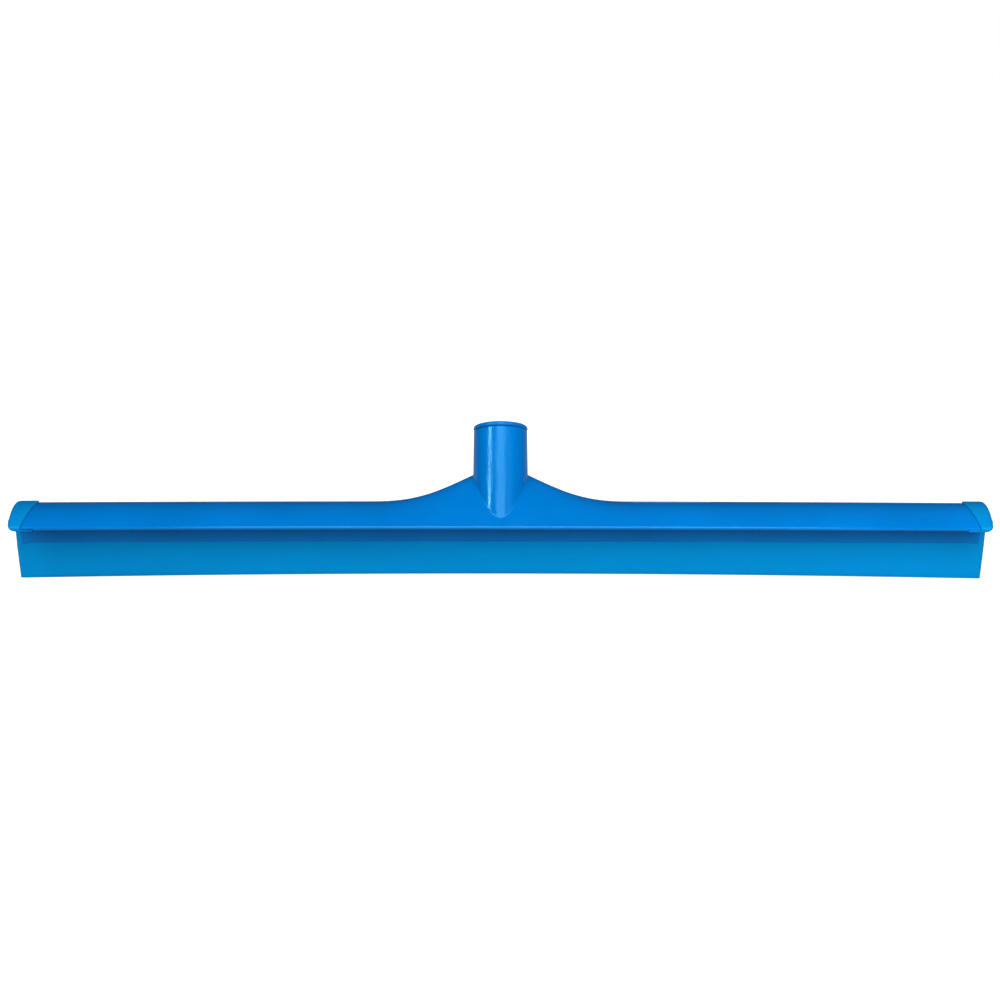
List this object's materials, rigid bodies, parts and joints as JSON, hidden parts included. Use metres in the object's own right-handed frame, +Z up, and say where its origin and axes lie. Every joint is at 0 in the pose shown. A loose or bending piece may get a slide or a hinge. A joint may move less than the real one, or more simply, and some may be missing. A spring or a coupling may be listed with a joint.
{
  "type": "floor squeegee head",
  "caption": "Hooded floor squeegee head with a flexing rubber blade, rubber end caps and a leaning threaded socket for a pole.",
  "frame": {"origin": "centre of the pole socket's mouth, in the plane of the bush's rim", "axes": "+X along the blade, to the right as seen from the front; -Y is the front; +Z up, with the blade hanging straight down and the socket's axis leaning 30 degrees from +Z towards +Y"},
  "size_m": [0.6, 0.0662, 0.0972],
  "materials": {
    "blue_polypropylene": "glossy moulded polypropylene",
    "blue_rubber": "satin thermoplastic rubber"
  },
  "bodies": {
    "head": {"head": "blue_polypropylene", "threaded_bush": "blue_polypropylene", "blade_root": "blue_rubber", "left_end_cap": "blue_rubber", "right_end_cap": "blue_rubber"},
    "lip": {"blade_lip": "blue_rubber"}
  },
  "joints": [
    {"name": "blade_flex", "type": "hinge", "parent": "head", "child": "lip", "pos_m": [0, -0.02875, -0.07008], "axis": [1, 0, 0], "range_deg": [-30, 30], "stiffness_Nm_per_rad": 0.9}
  ]
}
